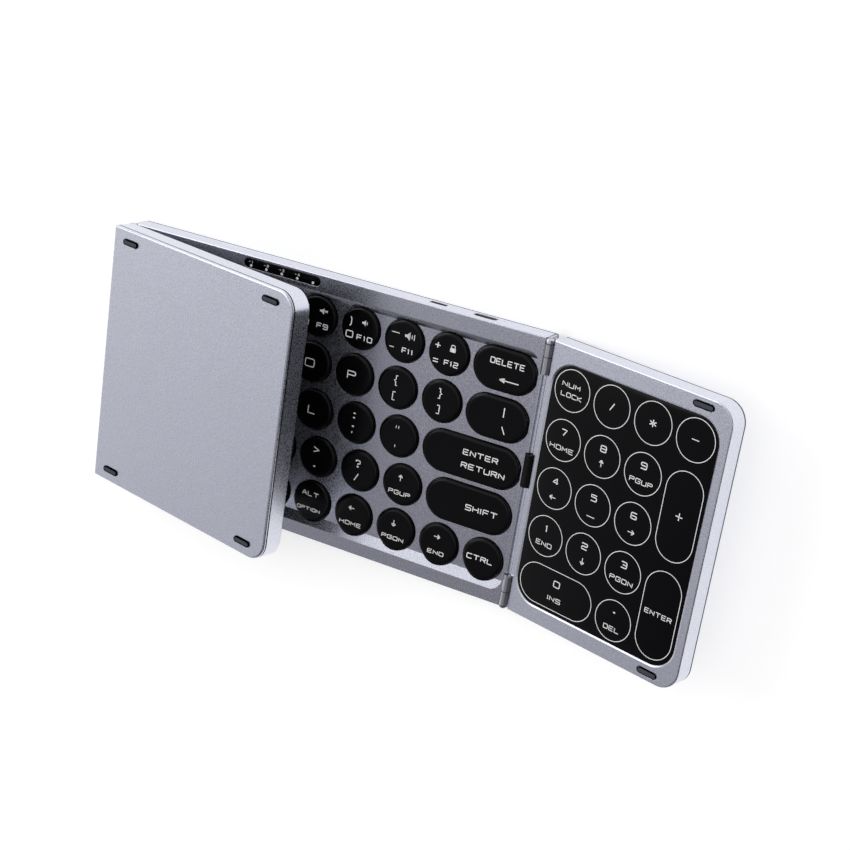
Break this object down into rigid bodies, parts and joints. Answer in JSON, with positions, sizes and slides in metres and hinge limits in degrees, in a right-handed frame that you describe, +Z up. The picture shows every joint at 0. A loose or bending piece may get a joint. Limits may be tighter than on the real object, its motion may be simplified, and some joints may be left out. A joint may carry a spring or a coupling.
{
  "type": "folding keyboard",
  "caption": "Pocket keyboard in hinged aluminium panels: a key panel in the middle, a folding key panel on its left and a folding touch number panel on its right.",
  "frame": {"origin": "centre of the bounding box's footprint, on the surface that the feet stand on", "axes": "+X from the left panel's hinge to the number panel, +Y to the back edge with the port, +Z up"},
  "size_m": [0.244, 0.099, 0.0409],
  "materials": {
    "anodised_case": "satin, fine-blasted and anodised",
    "key_plastic": "satin moulded",
    "touch_glass": "gloss black with printed rings",
    "window_plastic": "gloss black",
    "foot_rubber": "matt",
    "dome_rubber": "matt, translucent grey",
    "hinge_metal": "polished",
    "screw_steel": "plain",
    "plate_steel": "plain",
    "magnet_metal": "plated",
    "black_plastic": "satin",
    "circuit_board": "green lacquer",
    "battery_wrap": "foil pouch",
    "flex_film": "amber film"
  },
  "bodies": {
    "middle": {"middle_top_case": "anodised_case", "middle_back_cover": "anodised_case", "middle_support_plate": "plate_steel", "middle_dome_sheet": "dome_rubber", "main_circuit_board": "circuit_board", "battery": "battery_wrap", "usb_c_socket": "plate_steel", "power_switch_body": "black_plastic", "indicator_window": "window_plastic", "middle_magnets": "magnet_metal", "middle_feet": "foot_rubber", "middle_screws": "screw_steel", "middle_hinge_leaves": "hinge_metal", "hinge_pins": "hinge_metal", "flex_sleeves": "black_plastic", "left_flex_cable": "flex_film", "number_flex_cable": "flex_film"},
    "left": {"left_top_case": "anodised_case", "left_back_cover": "anodised_case", "left_key_board": "circuit_board", "left_dome_sheet": "dome_rubber", "left_feet": "foot_rubber", "left_magnets": "magnet_metal", "left_screws": "screw_steel", "left_hinge_leaves": "hinge_metal"},
    "number": {"number_frame": "anodised_case", "number_back_cover": "anodised_case", "touch_glass": "touch_glass", "touch_board": "circuit_board", "number_feet": "foot_rubber", "number_magnets": "magnet_metal", "number_screws": "screw_steel", "number_hinge_leaves": "hinge_metal"},
    "power_switch": {"power_switch_slider": "black_plastic"},
    "covered_keys": {"covered_keys": "key_plastic"},
    "left_keys": {"left_keys": "key_plastic"},
    "key_f9": {"key_f9": "key_plastic"},
    "key_f10": {"key_f10": "key_plastic"},
    "key_f11": {"key_f11": "key_plastic"},
    "key_f12": {"key_f12": "key_plastic"},
    "key_o": {"key_o": "key_plastic"},
    "key_p": {"key_p": "key_plastic"},
    "key_left_bracket": {"key_left_bracket": "key_plastic"},
    "key_right_bracket": {"key_right_bracket": "key_plastic"},
    "key_l": {"key_l": "key_plastic"},
    "key_semicolon": {"key_semicolon": "key_plastic"},
    "key_quote": {"key_quote": "key_plastic"},
    "key_period": {"key_period": "key_plastic"},
    "key_slash": {"key_slash": "key_plastic"},
    "key_page_up": {"key_page_up": "key_plastic"},
    "key_option": {"key_option": "key_plastic"},
    "key_home": {"key_home": "key_plastic"},
    "key_page_down": {"key_page_down": "key_plastic"},
    "key_end": {"key_end": "key_plastic"},
    "key_right_ctrl": {"key_right_ctrl": "key_plastic"},
    "key_delete": {"key_delete": "key_plastic"},
    "key_backslash": {"key_backslash": "key_plastic"},
    "key_enter": {"key_enter": "key_plastic"},
    "key_right_shift": {"key_right_shift": "key_plastic"},
    "key_space": {"key_space": "key_plastic"}
  },
  "joints": [
    {"name": "left_fold", "type": "hinge", "parent": "middle", "child": "left", "pos_m": [-0.12028, 0, 0.00925], "axis": [0, 1, 0], "range_deg": [-165.7, 14.3], "deforming": ["left_flex_cable"]},
    {"name": "number_fold", "type": "hinge", "parent": "middle", "child": "number", "pos_m": [0.04972, 0, 0.00925], "axis": [0, -1, 0], "range_deg": [-15.4, 164.6], "deforming": ["number_flex_cable"]},
    {"name": "power_switch_slide", "type": "slide", "parent": "middle", "child": "power_switch", "axis": [1, 0, 0], "range_m": [0, 0.002]},
    {"name": "key_f9_travel", "type": "slide", "parent": "middle", "child": "key_f9", "axis": [0, 0, -1], "range_m": [0, 0.0011], "stiffness_N_per_m": 400, "springref_m": -0.0006},
    {"name": "key_f10_travel", "type": "slide", "parent": "middle", "child": "key_f10", "axis": [0, 0, -1], "range_m": [0, 0.0011], "stiffness_N_per_m": 400, "springref_m": -0.0006},
    {"name": "key_f11_travel", "type": "slide", "parent": "middle", "child": "key_f11", "axis": [0, 0, -1], "range_m": [0, 0.0011], "stiffness_N_per_m": 400, "springref_m": -0.0006},
    {"name": "key_f12_travel", "type": "slide", "parent": "middle", "child": "key_f12", "axis": [0, 0, -1], "range_m": [0, 0.0011], "stiffness_N_per_m": 400, "springref_m": -0.0006},
    {"name": "key_o_travel", "type": "slide", "parent": "middle", "child": "key_o", "axis": [0, 0, -1], "range_m": [0, 0.0011], "stiffness_N_per_m": 400, "springref_m": -0.0006},
    {"name": "key_p_travel", "type": "slide", "parent": "middle", "child": "key_p", "axis": [0, 0, -1], "range_m": [0, 0.0011], "stiffness_N_per_m": 400, "springref_m": -0.0006},
    {"name": "key_left_bracket_travel", "type": "slide", "parent": "middle", "child": "key_left_bracket", "axis": [0, 0, -1], "range_m": [0, 0.0011], "stiffness_N_per_m": 400, "springref_m": -0.0006},
    {"name": "key_right_bracket_travel", "type": "slide", "parent": "middle", "child": "key_right_bracket", "axis": [0, 0, -1], "range_m": [0, 0.0011], "stiffness_N_per_m": 400, "springref_m": -0.0006},
    {"name": "key_l_travel", "type": "slide", "parent": "middle", "child": "key_l", "axis": [0, 0, -1], "range_m": [0, 0.0011], "stiffness_N_per_m": 400, "springref_m": -0.0006},
    {"name": "key_semicolon_travel", "type": "slide", "parent": "middle", "child": "key_semicolon", "axis": [0, 0, -1], "range_m": [0, 0.0011], "stiffness_N_per_m": 400, "springref_m": -0.0006},
    {"name": "key_quote_travel", "type": "slide", "parent": "middle", "child": "key_quote", "axis": [0, 0, -1], "range_m": [0, 0.0011], "stiffness_N_per_m": 400, "springref_m": -0.0006},
    {"name": "key_period_travel", "type": "slide", "parent": "middle", "child": "key_period", "axis": [0, 0, -1], "range_m": [0, 0.0011], "stiffness_N_per_m": 400, "springref_m": -0.0006},
    {"name": "key_slash_travel", "type": "slide", "parent": "middle", "child": "key_slash", "axis": [0, 0, -1], "range_m": [0, 0.0011], "stiffness_N_per_m": 400, "springref_m": -0.0006},
    {"name": "key_page_up_travel", "type": "slide", "parent": "middle", "child": "key_page_up", "axis": [0, 0, -1], "range_m": [0, 0.0011], "stiffness_N_per_m": 400, "springref_m": -0.0006},
    {"name": "key_option_travel", "type": "slide", "parent": "middle", "child": "key_option", "axis": [0, 0, -1], "range_m": [0, 0.0011], "stiffness_N_per_m": 400, "springref_m": -0.0006},
    {"name": "key_home_travel", "type": "slide", "parent": "middle", "child": "key_home", "axis": [0, 0, -1], "range_m": [0, 0.0011], "stiffness_N_per_m": 400, "springref_m": -0.0006},
    {"name": "key_page_down_travel", "type": "slide", "parent": "middle", "child": "key_page_down", "axis": [0, 0, -1], "range_m": [0, 0.0011], "stiffness_N_per_m": 400, "springref_m": -0.0006},
    {"name": "key_end_travel", "type": "slide", "parent": "middle", "child": "key_end", "axis": [0, 0, -1], "range_m": [0, 0.0011], "stiffness_N_per_m": 400, "springref_m": -0.0006},
    {"name": "key_right_ctrl_travel", "type": "slide", "parent": "middle", "child": "key_right_ctrl", "axis": [0, 0, -1], "range_m": [0, 0.0011], "stiffness_N_per_m": 400, "springref_m": -0.0006},
    {"name": "key_delete_travel", "type": "slide", "parent": "middle", "child": "key_delete", "axis": [0, 0, -1], "range_m": [0, 0.0011], "stiffness_N_per_m": 400, "springref_m": -0.0006},
    {"name": "key_backslash_travel", "type": "slide", "parent": "middle", "child": "key_backslash", "axis": [0, 0, -1], "range_m": [0, 0.0011], "stiffness_N_per_m": 400, "springref_m": -0.0006},
    {"name": "key_enter_travel", "type": "slide", "parent": "middle", "child": "key_enter", "axis": [0, 0, -1], "range_m": [0, 0.0011], "stiffness_N_per_m": 400, "springref_m": -0.0006, "deforming": ["middle_dome_sheet"]},
    {"name": "key_right_shift_travel", "type": "slide", "parent": "middle", "child": "key_right_shift", "axis": [0, 0, -1], "range_m": [0, 0.0011], "stiffness_N_per_m": 400, "springref_m": -0.0006},
    {"name": "key_space_travel", "type": "slide", "parent": "middle", "child": "key_space", "axis": [0, 0, -1], "range_m": [0, 0.0011], "stiffness_N_per_m": 400, "springref_m": -0.0006},
    {"name": "covered_keys_travel", "type": "slide", "parent": "middle", "child": "covered_keys", "axis": [0, 0, -1], "range_m": [0, 0.0011], "stiffness_N_per_m": 3000, "springref_m": -0.0004},
    {"name": "left_keys_travel", "type": "slide", "parent": "left", "child": "left_keys", "axis": [-0.247, 0, 0.969], "range_m": [0, 0.0011], "stiffness_N_per_m": 4000, "springref_m": -0.0004, "deforming": ["left_dome_sheet"]}
  ]
}
